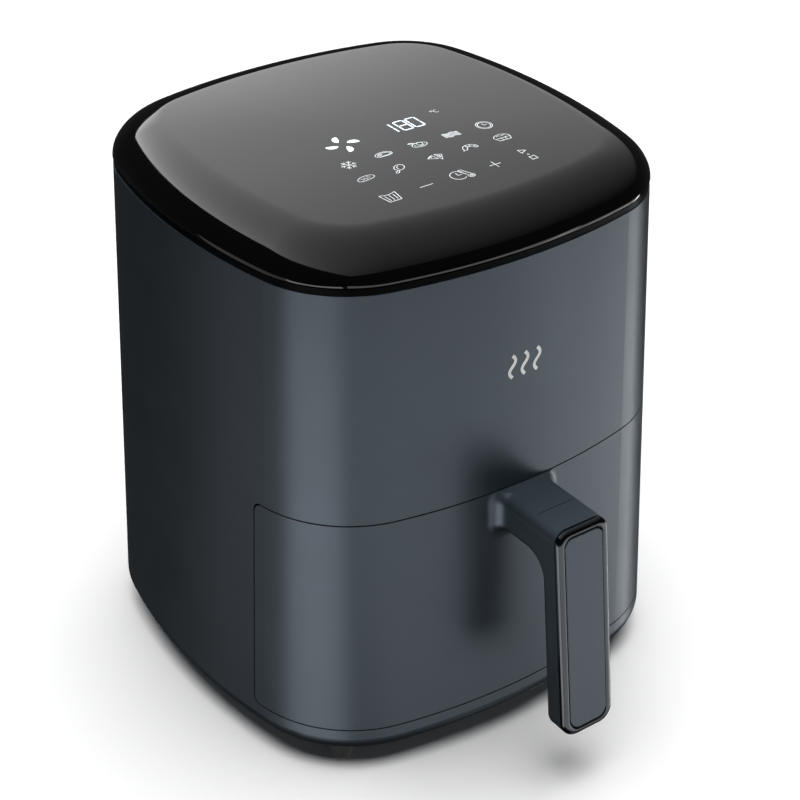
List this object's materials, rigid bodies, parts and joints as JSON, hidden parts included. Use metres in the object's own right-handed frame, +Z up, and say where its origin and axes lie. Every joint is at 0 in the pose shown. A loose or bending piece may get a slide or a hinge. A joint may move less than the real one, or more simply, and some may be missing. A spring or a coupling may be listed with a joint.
{
  "type": "air fryer",
  "caption": "Upright air fryer with a rounded square tapering body, touch controls in a domed glossy lid, and a front drawer with a bar handle, bowl and lift-out perforated tray.",
  "frame": {"origin": "on the table, in the plane of the feet, under the middle of the body's plan outline", "axes": "+Z up, -Y towards the front where the handle is, +X to the right for someone facing the front"},
  "size_m": [0.2766, 0.3445, 0.3181],
  "materials": {
    "shell_slate": "fine satin slate blue moulding",
    "insert_satin": "satin slate panel",
    "lid_black": "polished black moulding",
    "ring_black": "black",
    "bezel_dark": "dark smoked metal finish",
    "black_plastic": "fine texture",
    "black_rubber": "matt",
    "coated_metal": "dark non-stick coating",
    "sheet_steel": "plated sheet",
    "bare_steel": "turned or pressed steel",
    "fan_aluminium": "pressed sheet",
    "bearing_brass": "sintered",
    "coil_copper": "varnished winding",
    "board_green": "solder mask",
    "display_smoke": "smoked window"
  },
  "bodies": {
    "housing": {"outer_shell": "shell_slate", "base_plate": "black_plastic", "rear_cover": "black_plastic", "cord_gland": "black_rubber", "rear_cover_screws": "bare_steel", "lid_ring": "ring_black", "lid": "lid_black", "lid_frame": "black_plastic", "touch_board": "board_green", "light_guide": "black_plastic", "key_pads": "black_rubber", "display_module": "display_smoke", "chamber_liner": "sheet_steel", "chamber_bezel": "black_plastic", "drawer_ceiling": "sheet_steel", "heat_reflector": "sheet_steel", "heating_element": "bare_steel", "element_clips": "sheet_steel", "heater_guard": "sheet_steel", "motor_stator": "bare_steel", "motor_coil": "coil_copper", "lower_bearing": "bearing_brass", "upper_bearing": "bearing_brass", "motor_bracket": "sheet_steel", "motor_yoke": "sheet_steel", "deck": "black_plastic", "fan_shroud": "black_plastic", "exhaust_duct": "sheet_steel", "power_board": "board_green", "transformer": "coil_copper", "relay": "black_plastic", "capacitors": "bare_steel", "terminal_block": "black_plastic", "thermal_cutout": "sheet_steel", "temperature_probe": "sheet_steel", "door_switch": "black_plastic", "base_screws": "bare_steel", "slide_rail_left": "sheet_steel", "slide_rail_right": "sheet_steel", "foot_front_left": "black_rubber", "foot_front_right": "black_rubber", "foot_rear_left": "black_rubber", "foot_rear_right": "black_rubber"},
    "drawer": {"drawer_front": "shell_slate", "drawer_inner_cover": "black_plastic", "handle_grip": "shell_slate", "handle_cap": "shell_slate", "handle_bezel": "bezel_dark", "handle_insert": "insert_satin", "handle_bracket": "sheet_steel", "handle_screws": "bare_steel", "bowl": "coated_metal"},
    "tray": {"crisper_tray": "coated_metal", "tray_bumpers": "black_rubber"},
    "fan_rotor": {"motor_shaft": "bare_steel", "fan_nut": "bare_steel", "rotor_core": "bare_steel", "convection_fan": "fan_aluminium", "cooling_fan": "fan_aluminium"},
    "switch_button": {"switch_plunger": "black_plastic"}
  },
  "joints": [
    {"name": "drawer_slide", "type": "slide", "parent": "housing", "child": "drawer", "axis": [0, -1, 0], "range_m": [0, 0.245]},
    {"name": "tray_lift", "type": "slide", "parent": "drawer", "child": "tray", "axis": [0, 0, 1], "range_m": [0, 0.11]},
    {"name": "fan_spin", "type": "hinge", "parent": "housing", "child": "fan_rotor", "pos_m": [0, -0.0065, 0.22], "axis": [0, 0, 1], "continuous": true},
    {"name": "door_switch_press", "type": "slide", "parent": "housing", "child": "switch_button", "axis": [0, 1, 0], "range_m": [0, 0.0006], "stiffness_N_per_m": 300, "springref_m": -0.0005}
  ]
}
